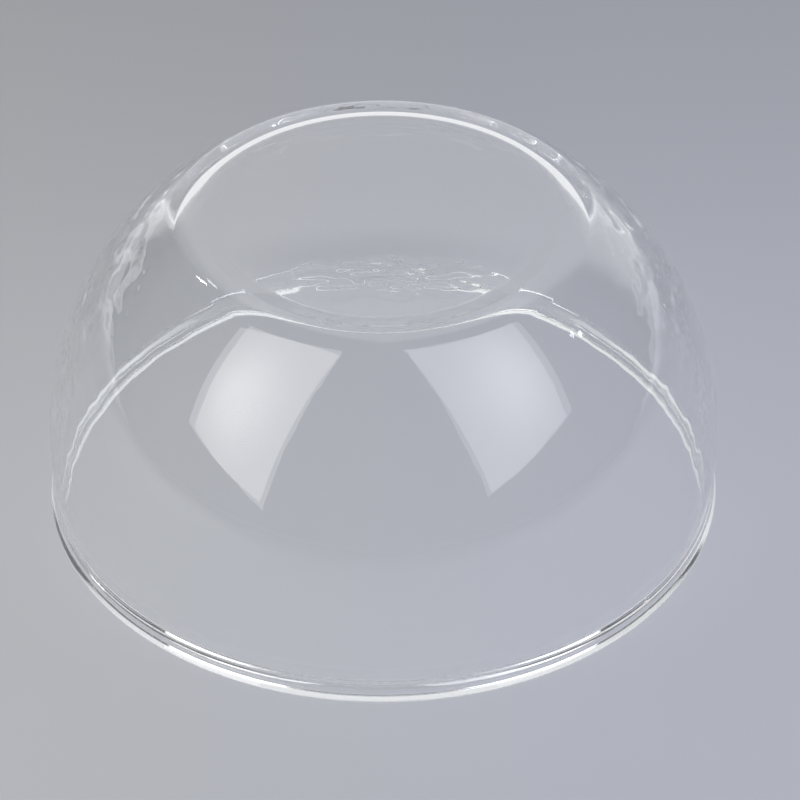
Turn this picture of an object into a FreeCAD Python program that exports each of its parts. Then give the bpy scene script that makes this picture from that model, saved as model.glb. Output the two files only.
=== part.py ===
import FreeCAD, Part
import os
from math import sqrt

# A clear round-sided laboratory dish, standing mouth down on its rim.
# Millimetres. The Z axis is the axis of the dish, z = 0 is the plane that the rim stands on,
# and the flat base is on top. The dish is one piece of glass, written here as the four zones
# that a glassworker names: rim band, side wall, heel and base. Each zone is a solid of
# revolution, and neighbours meet face to face on a straight cut through the glass.

# Driving dimensions
RIM_DIAMETER = 150.0
OVERALL_HEIGHT = 73.7
BASE_DIAMETER = 80.0

# Outside of the side wall and heel
WALL_RADIUS = 70.5
WIDEST_DIAMETER = 148.8
WIDEST_HEIGHT = 15.3
HEEL_RADIUS = 10.6

# Glass thickness at the foot, the middle and the head of the wall
FOOT_THICKNESS = 2.8
MIDDLE_THICKNESS = 4.2
HEAD_THICKNESS = 4.4
HEEL_INNER_RADIUS = 8.0

# The base is thickest over a flat round middle and thins a little towards its edge
BASE_THICKNESS = 4.2
BASE_EDGE_THICKNESS = 3.8
BASE_MIDDLE_DIAMETER = 70.0
BASE_CUT_DIAMETER = 77.0

# The rim band stands proud of the wall and has a flat bottom
BAND_HEIGHT = 5.3
BAND_TOP_DIAMETER = 148.6
BAND_EDGE_RADIUS = 1.0
BAND_FILLET_RADIUS = 0.6

AXIS = FreeCAD.Vector(0, 0, 1)
ORIGIN = FreeCAD.Vector(0, 0, 0)


def point(radius, height):
    return FreeCAD.Vector(radius, 0, height)


def towards(start, target):
    step = target - start
    return step.normalize()


def turned(direction):
    """The direction a quarter turn from this one, from +X towards +Z."""
    return FreeCAD.Vector(-direction.z, 0, direction.x)


def arc(centre, start, end):
    """The short arc about centre from start to end."""
    radius = (start - centre).Length
    middle = centre + towards(centre, (start + end) * 0.5) * radius
    return Part.Arc(start, middle, end).toShape()


def line(start, end):
    return Part.LineSegment(start, end).toShape()


def crossing(centre_a, radius_a, centre_b, radius_b):
    """Where two circles in the XZ plane cross, on the higher side of the line of centres."""
    span = (centre_b - centre_a).Length
    along = (radius_a ** 2 - radius_b ** 2 + span ** 2) / (2 * span)
    across = sqrt(radius_a ** 2 - along ** 2)
    direction = towards(centre_a, centre_b)
    return centre_a + direction * along + turned(direction) * across


def revolve(edges):
    outline = Part.Wire(edges)
    return Part.Face(outline).revolve(ORIGIN, AXIS, 360)


# Outside of the wall and heel: the heel's arc is tangent to the wall's arc and to the flat base
wall_centre = point(WIDEST_DIAMETER / 2 - WALL_RADIUS, WIDEST_HEIGHT)
heel_centre = point(BASE_DIAMETER / 2, OVERALL_HEIGHT - HEEL_RADIUS)
wall_head = wall_centre + towards(wall_centre, heel_centre) * WALL_RADIUS
heel_top = point(heel_centre.x, OVERALL_HEIGHT)

# Outside of the rim band, with a small hollow fillet that leads into the wall
low_edge = point(RIM_DIAMETER / 2 - BAND_EDGE_RADIUS, BAND_EDGE_RADIUS)
high_edge = point(BAND_TOP_DIAMETER / 2 - BAND_EDGE_RADIUS, BAND_HEIGHT - BAND_EDGE_RADIUS)
fillet_centre = crossing(
    wall_centre, WALL_RADIUS + BAND_FILLET_RADIUS, high_edge, BAND_EDGE_RADIUS + BAND_FILLET_RADIUS)
wall_foot = wall_centre + towards(wall_centre, fillet_centre) * WALL_RADIUS
band_outward = turned(towards(high_edge, low_edge))
fillet_foot = high_edge + towards(high_edge, fillet_centre) * BAND_EDGE_RADIUS
face_top = high_edge + band_outward * BAND_EDGE_RADIUS
face_bottom = low_edge + band_outward * BAND_EDGE_RADIUS

# Inside of the wall: one arc through three thicknesses, measured square to the outside
middle_direction = towards(wall_centre, wall_foot) + towards(wall_centre, wall_head)
middle_direction.normalize()
inner_foot = wall_centre + towards(wall_centre, wall_foot) * (WALL_RADIUS - FOOT_THICKNESS)
inner_middle = wall_centre + middle_direction * (WALL_RADIUS - MIDDLE_THICKNESS)
inner_head = wall_centre + towards(wall_centre, wall_head) * (WALL_RADIUS - HEAD_THICKNESS)
inner_circle = Part.Arc(inner_foot, inner_middle, inner_head).toShape().Curve
inner_centre = inner_circle.Center
inner_radius = inner_circle.Radius

# Inside of the heel: an arc tangent to the inside of the wall and to the underside of the base
inner_heel_height = OVERALL_HEIGHT - BASE_EDGE_THICKNESS - HEEL_INNER_RADIUS
inner_heel_reach = sqrt(
    (inner_radius - HEEL_INNER_RADIUS) ** 2 - (inner_heel_height - inner_centre.z) ** 2)
inner_heel_centre = point(inner_centre.x + inner_heel_reach, inner_heel_height)
inner_heel_foot = inner_centre + towards(inner_centre, inner_heel_centre) * inner_radius
inner_heel_top = point(inner_heel_centre.x, OVERALL_HEIGHT - BASE_EDGE_THICKNESS)

# Inside bottom edge of the rim band
inside_reach = sqrt((inner_radius + BAND_EDGE_RADIUS) ** 2 - (BAND_EDGE_RADIUS - inner_centre.z) ** 2)
inside_edge = point(inner_centre.x + inside_reach, BAND_EDGE_RADIUS)
inside_edge_top = inner_centre + towards(inner_centre, inside_edge) * inner_radius

# The cut between heel and base
cut_outer = point(BASE_CUT_DIAMETER / 2, OVERALL_HEIGHT)
cut_inner = point(BASE_CUT_DIAMETER / 2, OVERALL_HEIGHT - BASE_EDGE_THICKNESS)


def rim_band():
    """The thickened band at the rim: flat bottom, slightly sloping face, small shoulder."""
    inside_bottom = point(inside_edge.x, 0)
    outside_bottom = point(low_edge.x, 0)
    return revolve([
        arc(inner_centre, inner_foot, inside_edge_top),
        arc(inside_edge, inside_edge_top, inside_bottom),
        line(inside_bottom, outside_bottom),
        arc(low_edge, outside_bottom, face_bottom),
        line(face_bottom, face_top),
        arc(high_edge, face_top, fillet_foot),
        arc(fillet_centre, fillet_foot, wall_foot),
        line(wall_foot, inner_foot)])


def side_wall():
    """The round-sided wall, widest a little above the rim, thicker towards the base."""
    return revolve([
        arc(wall_centre, wall_foot, wall_head),
        line(wall_head, inner_heel_foot),
        arc(inner_centre, inner_heel_foot, inner_foot),
        line(inner_foot, wall_foot)])


def heel():
    """The tight bend between the wall and the base."""
    return revolve([
        arc(heel_centre, wall_head, heel_top),
        line(heel_top, cut_outer),
        line(cut_outer, cut_inner),
        line(cut_inner, inner_heel_top),
        arc(inner_heel_centre, inner_heel_top, inner_heel_foot),
        line(inner_heel_foot, wall_head)])


def base():
    """The flat round floor of the dish, which it rests on when it stands mouth up."""
    middle_height = OVERALL_HEIGHT - BASE_THICKNESS
    middle_edge = point(BASE_MIDDLE_DIAMETER / 2, middle_height)
    return revolve([
        line(point(0, OVERALL_HEIGHT), cut_outer),
        line(cut_outer, cut_inner),
        line(cut_inner, middle_edge),
        line(middle_edge, point(0, middle_height)),
        line(point(0, middle_height), point(0, OVERALL_HEIGHT))])


os.makedirs("parts", exist_ok=True)
for node, make in (("rim_band", rim_band), ("side_wall", side_wall), ("heel", heel), ("base", base)):
    shape = make()
    shape.exportStep("parts/" + node + ".step")
    box = shape.optimalBoundingBox()
    print(node, "valid", shape.isValid(), "solids", len(shape.Solids), "volume mm3", round(shape.Volume),
          "z", round(box.ZMin, 3), round(box.ZMax, 3), "widest", round(box.XLength, 3))
print("inner heel centre radius", round(inner_heel_centre.x, 2), "inner foot of the heel",
      round(inner_heel_foot.x, 2), round(inner_heel_foot.z, 2), "mouth radius", round(inside_edge.x, 2))
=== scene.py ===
from math import acos, atan2, cos, hypot, pi, radians, sin, sqrt

import bpy
from mathutils import Euler, Matrix, Vector, noise


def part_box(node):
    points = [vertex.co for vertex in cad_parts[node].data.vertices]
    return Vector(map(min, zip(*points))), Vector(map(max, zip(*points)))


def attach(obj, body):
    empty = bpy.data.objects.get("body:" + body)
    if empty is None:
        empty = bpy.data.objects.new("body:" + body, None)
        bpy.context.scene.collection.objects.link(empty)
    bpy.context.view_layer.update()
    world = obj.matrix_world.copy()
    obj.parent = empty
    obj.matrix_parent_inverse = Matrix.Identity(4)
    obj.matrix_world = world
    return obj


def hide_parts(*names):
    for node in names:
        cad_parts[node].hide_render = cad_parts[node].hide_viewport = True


# The looks of an upturned clear glass dish: one closed glass skin over the CAD zones, on a pale floor
# between two leaning softboxes. Metres, in the frame of the CAD model: z = 0 is the floor.

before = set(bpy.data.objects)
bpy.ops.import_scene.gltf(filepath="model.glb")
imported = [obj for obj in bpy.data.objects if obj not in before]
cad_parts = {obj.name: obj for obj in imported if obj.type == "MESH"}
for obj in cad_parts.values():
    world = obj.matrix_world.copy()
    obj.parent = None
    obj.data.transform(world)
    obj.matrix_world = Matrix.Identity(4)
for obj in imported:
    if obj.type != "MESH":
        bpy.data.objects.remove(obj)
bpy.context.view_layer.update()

# Sizes that the CAD zones give
RIM_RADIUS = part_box("rim_band")[1].x
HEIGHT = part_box("base")[1].z

# Sizes of the section that a box doesn't give. Inside, the base is thickest on a flat round plateau
# and thinnest at the groove, where it meets the heel.
BASE_RADIUS = 0.0400
WALL_RADIUS = 0.0705
WIDEST_RADIUS = 0.0744
WIDEST_HEIGHT = 0.0153
HEEL_RADIUS = 0.0106
HEEL_INNER_RADIUS = 0.0080
FOOT_THICKNESS = 0.0028
MIDDLE_THICKNESS = 0.0042
HEAD_THICKNESS = 0.0044
BASE_THICKNESS = 0.0042
BASE_EDGE_THICKNESS = 0.0038
PLATEAU_RADIUS = 0.0350
GROOVE_RADIUS = 0.0385
BAND_HEIGHT = 0.0053
BAND_TOP_RADIUS = 0.0743
BAND_EDGE_RADIUS = 0.0010
BAND_FILLET = 0.0006

# How finely the skin is divided
STEPS_AROUND = 480
WALL_STEPS = 90
HEEL_STEPS = 24
FILLET_STEPS = 8
EDGE_STEPS = 12
FACE_STEPS = 6
BASE_STEPS = 60
CONE_STEPS = 16
GROOVE_STEPS = 4

# Wrinkles in the inside of the base and waves in the inside of the wall. A density is the noise's own
# units to the metre: along x and y for the wrinkles, level and upward for the waves of the wall.
WRINKLE_X = 0.003
WRINKLE_Y = -0.0215
WRINKLE_HALF_LENGTH = 0.030
WRINKLE_HALF_WIDTH = 0.0085
WRINKLE_DEPTH = 0.00014
WRINKLE_DENSITY = (160, 420)
BASE_WAVE_DEPTH = 0.000012
BASE_WAVE_DENSITY = 45
WALL_WAVE_DEPTH = 0.00042
WALL_WAVE_DENSITY = (90, 170)
WAVES_BEHIND_MIDDLE = 0.3
WAVES_IN_FRONT = 0.04
NOISE_OCTAVES = 4

# The tint is what each surface does to light on its way to and from the floor. It is a little above 1,
# in place of the light that the curved wall gathers on the floor inside the dish.
GLASS_IOR = 1.473
SHADOW_TINT = 1.045
MAX_BOUNCES = 96

# Floor: painted light and shade make it lighter at the front and darker at the back; its tint changes
# from left to right, and its far part glows with painted light, though it is no lamp
FLOOR_HALF = 3.0
FLOOR_GAP = 0.0001
FLOOR_FRONT_Y = -0.16
FLOOR_BACK_Y = 0.26
# Painted light and shade: the floor's colour is lighter at the front and darker at the back, as the light
# falls off
FLOOR_FRONT_LIT = (0.505, 0.515, 0.545, 1)
FLOOR_BACK_SHADED = (0.47, 0.475, 0.507, 1)
FAR_FLOOR_START = 0.20
FAR_FLOOR_END = 0.60
# Painted light: the far floor glows, though it is no lamp
FAR_FLOOR_PAINTED_LIGHT = (0.75, 0.76, 0.78, 1)
FLOOR_LEFT_X = -0.11
FLOOR_RIGHT_X = 0.07
FLOOR_LEFT_TINT = (1.0, 1.0, 0.985, 1)
FLOOR_RIGHT_TINT = (1.0, 1.01, 1.07, 1)

# Area lights: name, place, upward and backward directions, width, height, radiance, colour
AREA_LIGHTS = (
    ("softbox_left", (-0.477, -0.245, 0.400), (0.455, 0.421, 0.785), (-0.097, -0.852, 0.514),
     0.55, 0.50, 4.6, (1, 0.99, 0.97)),
    ("softbox_right", (0.408, -0.229, 0.427), (-0.481, 0.442, 0.758), (0.119, -0.823, 0.555),
     0.534, 0.50, 3.4, (0.95, 0.97, 1)),
    ("lamp_left", (-0.585, 0.48, 0.75), (0.0, 0.0, 1.0), (-0.54, 0.48, 0.69),
     0.045, 0.080, 40, (1, 1, 1)),
    ("lamp_right", (0.90, 0.10, 0.54), (0.0, 0.0, 1.0), (0.86, 0.12, 0.49),
     0.030, 0.030, 16, (1, 1, 1)))
LIGHT_EDGE_LEVEL = 0.6

# The room's radiance in front of the dish and behind it, the compass directions over which it is bright,
# and a small dimmer patch of it
ROOM_FRONT = 0.10
ROOM_BACK = 0.90
ROOM_COLOUR = (0.97, 0.98, 1.0, 1)
BRIGHT_HEADING = radians(8)
BRIGHT_HALF_WIDTH = radians(44)
BRIGHT_BLUR = radians(5)
PATCH_ELEVATION = radians(36)
PATCH_HALF_WIDTH = 0.055
PATCH_HALF_HEIGHT = 0.012
PATCH_LEVEL = 0.45

# Camera
CAMERA_PLACE = Vector((0.0, -0.6270, 0.5152))
CAMERA_PITCH = radians(38.17)
CAMERA_YAW = radians(0.344)
CAMERA_ROLL = radians(-0.143)
LENS = 161.1
SENSOR = 36.0


def arc_points(centre, radius, start, end, steps):
    """Points (r, z) on an arc, angles in radians from the +r axis, without the last one."""
    return [
        (centre[0] + radius * cos(start + (end - start) * i / steps),
         centre[1] + radius * sin(start + (end - start) * i / steps))
        for i in range(steps)]


def line_points(start, end, steps):
    return [
        (start[0] + (end[0] - start[0]) * i / steps, start[1] + (end[1] - start[1]) * i / steps)
        for i in range(steps)]


def angle_of(centre, target):
    return atan2(target[1] - centre[1], target[0] - centre[0])


def circle_through(a, b, c):
    """Centre and radius of the circle through three points of the (r, z) plane."""
    bx, bz, cx, cz = b[0] - a[0], b[1] - a[1], c[0] - a[0], c[1] - a[1]
    twice = 2 * (bx * cz - bz * cx)
    b_square = bx * bx + bz * bz
    c_square = cx * cx + cz * cz
    x = (cz * b_square - bz * c_square) / twice
    z = (bx * c_square - cx * b_square) / twice
    return (a[0] + x, a[1] + z), hypot(x, z)


def polar(centre, radius, angle):
    return (centre[0] + radius * cos(angle), centre[1] + radius * sin(angle))


def top_of(centre, radius):
    return (centre[0], centre[1] + radius)


def section():
    """The outline of the glass in the (r, z) plane, from the middle of the base out and down to the rim,
    then the inside, from the rim back to the middle of the base."""
    wall = (WIDEST_RADIUS - WALL_RADIUS, WIDEST_HEIGHT)
    heel = (BASE_RADIUS, HEIGHT - HEEL_RADIUS)
    edge = BAND_EDGE_RADIUS
    low = (RIM_RADIUS - edge, edge)
    high = (BAND_TOP_RADIUS - edge, BAND_HEIGHT - edge)

    # The fillet's centre, from the triangle of wall centre, band edge centre and fillet centre
    to_edge = hypot(high[0] - wall[0], high[1] - wall[1])
    to_fillet = WALL_RADIUS + BAND_FILLET
    edge_to_fillet = edge + BAND_FILLET
    opening = acos((to_edge ** 2 + to_fillet ** 2 - edge_to_fillet ** 2) / (2 * to_edge * to_fillet))
    foot_angle = angle_of(wall, high) + opening
    fillet = polar(wall, to_fillet, foot_angle)
    head_angle = angle_of(wall, heel)
    fillet_end = angle_of(fillet, high)
    face_angle = angle_of(low, high) - pi / 2

    # The inner wall's arc, thicker towards the base
    middle_angle = (foot_angle + head_angle) / 2
    inner, inner_radius = circle_through(
        polar(wall, WALL_RADIUS - FOOT_THICKNESS, foot_angle),
        polar(wall, WALL_RADIUS - MIDDLE_THICKNESS, middle_angle),
        polar(wall, WALL_RADIUS - HEAD_THICKNESS, head_angle))
    ceiling = HEIGHT - BASE_THICKNESS
    groove = (GROOVE_RADIUS, HEIGHT - BASE_EDGE_THICKNESS)
    plateau = (PLATEAU_RADIUS, ceiling)
    inner_heel_z = groove[1] - HEEL_INNER_RADIUS
    inner_heel_reach = sqrt((inner_radius - HEEL_INNER_RADIUS) ** 2 - (inner_heel_z - inner[1]) ** 2)
    inner_heel = (inner[0] + inner_heel_reach, inner_heel_z)
    inner_head = angle_of(inner, inner_heel)
    inside_edge = (inner[0] + sqrt((inner_radius + edge) ** 2 - (edge - inner[1]) ** 2), edge)
    inner_foot = angle_of(inner, inside_edge)

    outside = (
        line_points((0.0, HEIGHT), top_of(heel, HEEL_RADIUS), BASE_STEPS)
        + arc_points(heel, HEEL_RADIUS, pi / 2, head_angle, HEEL_STEPS)
        + arc_points(wall, WALL_RADIUS, head_angle, foot_angle, WALL_STEPS)
        + arc_points(fillet, BAND_FILLET, foot_angle + pi, fillet_end + 2 * pi, FILLET_STEPS)
        + arc_points(high, edge, fillet_end + pi, face_angle, EDGE_STEPS)
        + line_points(polar(high, edge, face_angle), polar(low, edge, face_angle), FACE_STEPS)
        + arc_points(low, edge, face_angle, -pi / 2, EDGE_STEPS)
        + line_points((low[0], 0.0), (inside_edge[0], 0.0), FACE_STEPS)
        + arc_points(inside_edge, edge, -pi / 2, inner_foot - pi, EDGE_STEPS))
    inside = (
        arc_points(inner, inner_radius, inner_foot, inner_head, WALL_STEPS)
        + arc_points(inner_heel, HEEL_INNER_RADIUS, inner_head, pi / 2, HEEL_STEPS)
        + line_points(top_of(inner_heel, HEEL_INNER_RADIUS), groove, GROOVE_STEPS)
        + line_points(groove, plateau, CONE_STEPS)
        + line_points(plateau, (0.0, ceiling), BASE_STEPS)
        + [(0.0, ceiling)])
    return outside, inside


def smooth_step(value, start, end):
    share = min(max((value - start) / (end - start), 0.0), 1.0)
    return share * share * (3 - 2 * share)


def base_wrinkle(x, y):
    """Height of the wrinkles in the inside of the base: a puckered patch in front of its middle,
    and faint waves elsewhere."""
    reach = hypot((x - WRINKLE_X) / WRINKLE_HALF_LENGTH, (y - WRINKLE_Y) / WRINKLE_HALF_WIDTH)
    patch = 1 - smooth_step(reach, 0.3, 1.0)
    edge = 1 - smooth_step(hypot(x, y), 0.7 * PLATEAU_RADIUS, PLATEAU_RADIUS)
    fine = noise.fractal(
        Vector((x * WRINKLE_DENSITY[0], y * WRINKLE_DENSITY[1], 3.1)), 1.0, 2.0, NOISE_OCTAVES)
    broad = noise.noise(Vector((x * BASE_WAVE_DENSITY, y * BASE_WAVE_DENSITY, 8.7)))
    return edge * (WRINKLE_DEPTH * patch * fine + BASE_WAVE_DEPTH * broad)


def wall_wave(x, y, z):
    """How far the inside of the wall waves in and out: deepest high on the two sides behind the middle,
    faint in front, and not at all at the rim and the heel."""
    beside = WAVES_BEHIND_MIDDLE + (1 - WAVES_BEHIND_MIDDLE) * smooth_step(abs(x), 0.020, 0.044)
    behind = smooth_step(y, -0.030, 0.015) * beside
    high = smooth_step(z, 0.018, 0.050)
    ends = smooth_step(z, 0.004, 0.012) * (1 - smooth_step(z, HEIGHT - 0.012, HEIGHT - 0.006))
    level, upward = WALL_WAVE_DENSITY
    broad = noise.fractal(Vector((x * level, y * level, z * upward)), 1.0, 2.0, NOISE_OCTAVES)
    return WALL_WAVE_DEPTH * ends * (WAVES_IN_FRONT + behind * high) * broad


def revolve(outside, inside):
    """A closed mesh of revolution, waved on its inside. The outline begins and ends on the axis."""
    outline = outside + inside
    rings = outline[1:-1]
    vertices = [(0.0, 0.0, outline[0][1])]
    for ring, (r, z) in enumerate(rings):
        is_inside = ring >= len(outside) - 1
        for i in range(STEPS_AROUND):
            turn = 2 * pi * i / STEPS_AROUND
            x, y = r * cos(turn), r * sin(turn)
            if is_inside and r > PLATEAU_RADIUS:
                inwards = wall_wave(x, y, z)
                vertices.append(((r - inwards) * cos(turn), (r - inwards) * sin(turn), z))
            elif is_inside:
                vertices.append((x, y, z - base_wrinkle(x, y)))
            else:
                vertices.append((x, y, z))
    vertices.append((0.0, 0.0, outline[-1][1]))
    last = len(vertices) - 1
    faces = []
    for i in range(STEPS_AROUND):
        j = (i + 1) % STEPS_AROUND
        faces.append((0, 1 + i, 1 + j))
        faces.append((last, last - STEPS_AROUND + j, last - STEPS_AROUND + i))
    for ring in range(len(rings) - 1):
        a = 1 + ring * STEPS_AROUND
        b = a + STEPS_AROUND
        for i in range(STEPS_AROUND):
            j = (i + 1) % STEPS_AROUND
            faces.append((a + i, b + i, b + j, a + j))
    return vertices, faces


def mesh_object(name, vertices, faces, smooth=True):
    mesh = bpy.data.meshes.new(name)
    mesh.from_pydata(vertices, [], faces)
    mesh.validate()
    mesh.update()
    if smooth:
        mesh.polygons.foreach_set("use_smooth", [True] * len(mesh.polygons))
    made = bpy.data.objects.new(name, mesh)
    bpy.context.scene.collection.objects.link(made)
    return made


def glass_material():
    """Clear glass. Light on its way to and from the floor goes straight through it,
    so the dish throws no dark shadow."""
    material = bpy.data.materials.new("clear_glass")
    material.use_nodes = True
    nodes = material.node_tree.nodes
    links = material.node_tree.links
    shader = nodes["Principled BSDF"]
    shader.inputs["Base Color"].default_value = (0.99, 0.995, 0.995, 1)
    shader.inputs["Roughness"].default_value = 0.0
    shader.inputs["IOR"].default_value = GLASS_IOR
    shader.inputs["Transmission Weight"].default_value = 1.0
    path = nodes.new("ShaderNodeLightPath")
    lighting = nodes.new("ShaderNodeMath")
    lighting.operation = "MAXIMUM"
    links.new(path.outputs["Is Shadow Ray"], lighting.inputs[0])
    links.new(path.outputs["Is Diffuse Ray"], lighting.inputs[1])
    straight = nodes.new("ShaderNodeBsdfTransparent")
    straight.inputs["Color"].default_value = (SHADOW_TINT, SHADOW_TINT, SHADOW_TINT, 1)
    mix = nodes.new("ShaderNodeMixShader")
    links.new(lighting.outputs["Value"], mix.inputs[0])
    links.new(shader.outputs["BSDF"], mix.inputs[1])
    links.new(straight.outputs["BSDF"], mix.inputs[2])
    links.new(mix.outputs["Shader"], nodes["Material Output"].inputs["Surface"])
    return material


def dish():
    made = mesh_object("glass_dish", *revolve(*section()))
    made.data.materials.append(glass_material())
    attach(made, "root")
    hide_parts("rim_band", "side_wall", "heel", "base")


def shade_along(nodes, links, position, axis, start, end, first, last):
    """A colour that changes smoothly along one axis, from first at start to last at end, in metres."""
    split = nodes.new("ShaderNodeSeparateXYZ")
    share = nodes.new("ShaderNodeMapRange")
    share.interpolation_type = "SMOOTHSTEP"
    share.inputs["From Min"].default_value = start
    share.inputs["From Max"].default_value = end
    blend = nodes.new("ShaderNodeMix")
    blend.data_type = "RGBA"
    blend.inputs["A"].default_value = first
    blend.inputs["B"].default_value = last
    links.new(position, split.inputs["Vector"])
    links.new(split.outputs[axis], share.inputs["Value"])
    links.new(share.outputs["Result"], blend.inputs["Factor"])
    return blend.outputs["Result"]


def floor_material():
    """A smooth pale sheet, a little lighter at the front and darker at the back by painted light and
    shade, a little bluer on the right, whose far part glows softly with painted light."""
    material = bpy.data.materials.new("pale_floor")
    material.use_nodes = True
    nodes = material.node_tree.nodes
    links = material.node_tree.links
    shader = nodes["Principled BSDF"]
    shader.inputs["Roughness"].default_value = 0.9
    shader.inputs["Specular IOR Level"].default_value = 0.1
    position = nodes.new("ShaderNodeNewGeometry").outputs["Position"]
    # Painted light and shade: lighter at the front, darker at the back
    painted_falloff = shade_along(
        nodes, links, position, "Y", FLOOR_FRONT_Y, FLOOR_BACK_Y, FLOOR_FRONT_LIT, FLOOR_BACK_SHADED)
    sideways = shade_along(
        nodes, links, position, "X", FLOOR_LEFT_X, FLOOR_RIGHT_X, FLOOR_LEFT_TINT, FLOOR_RIGHT_TINT)
    product = nodes.new("ShaderNodeMix")
    product.data_type = "RGBA"
    product.blend_type = "MULTIPLY"
    product.inputs["Factor"].default_value = 1.0
    links.new(painted_falloff, product.inputs["A"])
    links.new(sideways, product.inputs["B"])
    links.new(product.outputs["Result"], shader.inputs["Base Color"])
    # Painted light: the far floor glows, though it is no lamp
    glow = shade_along(
        nodes, links, position, "Y", FAR_FLOOR_START, FAR_FLOOR_END, (0, 0, 0, 1), FAR_FLOOR_PAINTED_LIGHT)
    links.new(glow, shader.inputs["Emission Color"])
    shader.inputs["Emission Strength"].default_value = 1.0
    return material


def floor():
    half = FLOOR_HALF
    corners = [(-half, -half), (half, -half), (half, half), (-half, half)]
    made = mesh_object("floor", [(x, y, -FLOOR_GAP) for x, y in corners], [(0, 1, 2, 3)], smooth=False)
    made.data.materials.append(floor_material())


def area_light(name, place, upward, backward, width, height, radiance, colour):
    """A rectangular light at place, brighter in its middle, that shines against the backward direction."""
    data = bpy.data.lights.new(name, "AREA")
    data.shape = "RECTANGLE"
    data.size = width
    data.size_y = height
    data.energy = radiance * pi * width * height
    data.color = colour
    data.use_nodes = True
    nodes = data.node_tree.nodes
    links = data.node_tree.links
    geometry = nodes.new("ShaderNodeNewGeometry")
    distance = nodes.new("ShaderNodeVectorMath")
    distance.operation = "DISTANCE"
    distance.inputs[1].default_value = (0.5, 0.5, 0.0)
    falloff = nodes.new("ShaderNodeMapRange")
    falloff.interpolation_type = "SMOOTHSTEP"
    falloff.inputs["From Min"].default_value = 0.05
    falloff.inputs["From Max"].default_value = 0.55
    falloff.inputs["To Min"].default_value = 1.0
    falloff.inputs["To Max"].default_value = LIGHT_EDGE_LEVEL
    links.new(geometry.outputs["Parametric"], distance.inputs[0])
    links.new(distance.outputs["Value"], falloff.inputs["Value"])
    links.new(falloff.outputs["Result"], nodes["Emission"].inputs["Strength"])
    light = bpy.data.objects.new(name, data)
    back = Vector(backward).normalized()
    side = Vector(upward).cross(back).normalized()
    up = back.cross(side)
    light.rotation_euler = Matrix((side, up, back)).transposed().to_euler()
    light.location = place
    light.visible_camera = False
    bpy.context.scene.collection.objects.link(light)


def dark_patch(nodes, links, direction):
    """A factor that falls over a small soft oval of the room, which the flat base mirrors."""
    across = nodes.new("ShaderNodeVectorMath")
    across.operation = "DOT_PRODUCT"
    across.inputs[1].default_value = (1 / PATCH_HALF_WIDTH, 0, 0)
    upward = nodes.new("ShaderNodeVectorMath")
    upward.operation = "DOT_PRODUCT"
    upward.inputs[1].default_value = (
        0, -sin(PATCH_ELEVATION) / PATCH_HALF_HEIGHT, cos(PATCH_ELEVATION) / PATCH_HALF_HEIGHT)
    flat = nodes.new("ShaderNodeCombineXYZ")
    reach = nodes.new("ShaderNodeVectorMath")
    reach.operation = "LENGTH"
    factor = nodes.new("ShaderNodeMapRange")
    factor.interpolation_type = "SMOOTHSTEP"
    factor.inputs["From Min"].default_value = 0.2
    factor.inputs["From Max"].default_value = 1.0
    factor.inputs["To Min"].default_value = PATCH_LEVEL
    factor.inputs["To Max"].default_value = 1.0
    links.new(direction, across.inputs[0])
    links.new(direction, upward.inputs[0])
    links.new(across.outputs["Value"], flat.inputs["X"])
    links.new(upward.outputs["Value"], flat.inputs["Y"])
    links.new(flat.outputs["Vector"], reach.inputs[0])
    links.new(reach.outputs["Value"], factor.inputs["Value"])
    return factor.outputs["Result"]


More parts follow.
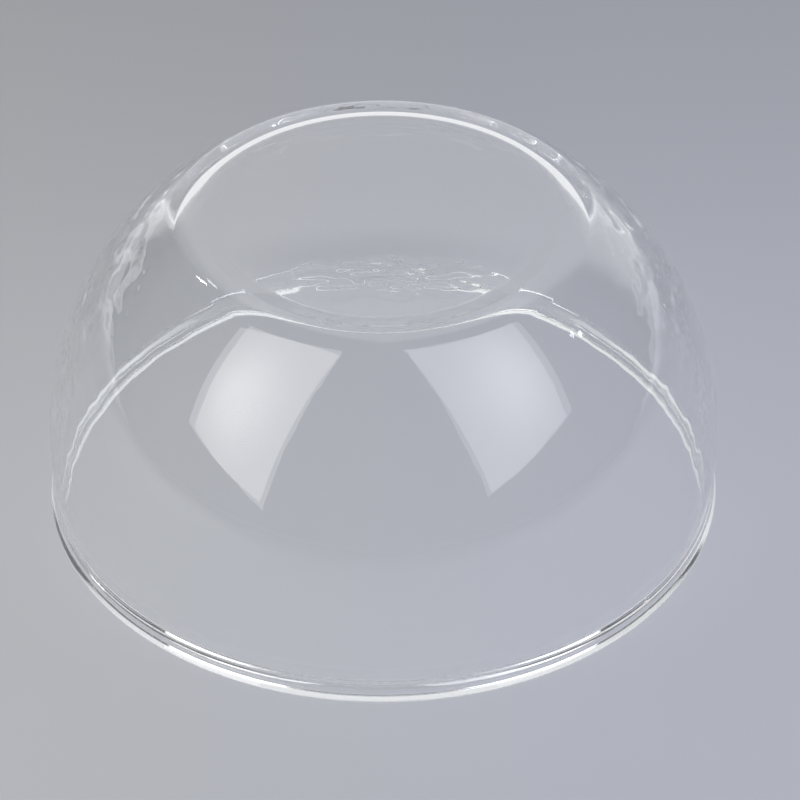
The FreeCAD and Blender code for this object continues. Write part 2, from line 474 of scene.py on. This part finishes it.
def room():
    """The surroundings: dark, but bright behind the dish over a range of compass directions."""
    world = bpy.data.worlds.new("room")
    world.use_nodes = True
    nodes = world.node_tree.nodes
    links = world.node_tree.links
    direction = nodes.new("ShaderNodeTexCoord")
    level = nodes.new("ShaderNodeVectorMath")
    level.operation = "MULTIPLY"
    level.inputs[1].default_value = (1, 1, 0)
    heading = nodes.new("ShaderNodeVectorMath")
    heading.operation = "NORMALIZE"
    alignment = nodes.new("ShaderNodeVectorMath")
    alignment.operation = "DOT_PRODUCT"
    alignment.inputs[1].default_value = (sin(BRIGHT_HEADING), cos(BRIGHT_HEADING), 0)
    bright = nodes.new("ShaderNodeMapRange")
    bright.interpolation_type = "SMOOTHSTEP"
    bright.inputs["From Min"].default_value = cos(BRIGHT_HALF_WIDTH + BRIGHT_BLUR)
    bright.inputs["From Max"].default_value = cos(BRIGHT_HALF_WIDTH - BRIGHT_BLUR)
    bright.inputs["To Min"].default_value = ROOM_FRONT
    bright.inputs["To Max"].default_value = ROOM_BACK
    links.new(direction.outputs["Generated"], level.inputs[0])
    links.new(level.outputs["Vector"], heading.inputs[0])
    links.new(heading.outputs["Vector"], alignment.inputs[0])
    links.new(alignment.outputs["Value"], bright.inputs["Value"])
    dimmed = nodes.new("ShaderNodeMath")
    dimmed.operation = "MULTIPLY"
    links.new(bright.outputs["Result"], dimmed.inputs[0])
    links.new(dark_patch(nodes, links, direction.outputs["Generated"]), dimmed.inputs[1])
    links.new(dimmed.outputs["Value"], nodes["Background"].inputs["Strength"])
    nodes["Background"].inputs["Color"].default_value = ROOM_COLOUR
    bpy.context.scene.world = world


def camera():
    data = bpy.data.cameras.new("camera")
    data.lens = LENS
    data.sensor_width = SENSOR
    made = bpy.data.objects.new("camera", data)
    made.location = CAMERA_PLACE
    level = Euler((pi / 2 - CAMERA_PITCH, 0, -CAMERA_YAW)).to_matrix()
    made.rotation_euler = (level @ Matrix.Rotation(CAMERA_ROLL, 3, "Z")).to_euler()
    bpy.context.scene.collection.objects.link(made)
    bpy.context.scene.camera = made


def light_transport():
    """Many bounces, because light runs a long way inside the wall before it comes out."""
    scene = bpy.context.scene
    scene.view_settings.view_transform = "Standard"
    scene.cycles.max_bounces = MAX_BOUNCES
    scene.cycles.transmission_bounces = MAX_BOUNCES
    scene.cycles.glossy_bounces = MAX_BOUNCES
    scene.cycles.transparent_max_bounces = MAX_BOUNCES
    scene.cycles.caustics_reflective = False
    scene.cycles.caustics_refractive = False
    scene.cycles.use_denoising = True


camera()
dish()
floor()
for light in AREA_LIGHTS:
    area_light(*light)
room()
light_transport()
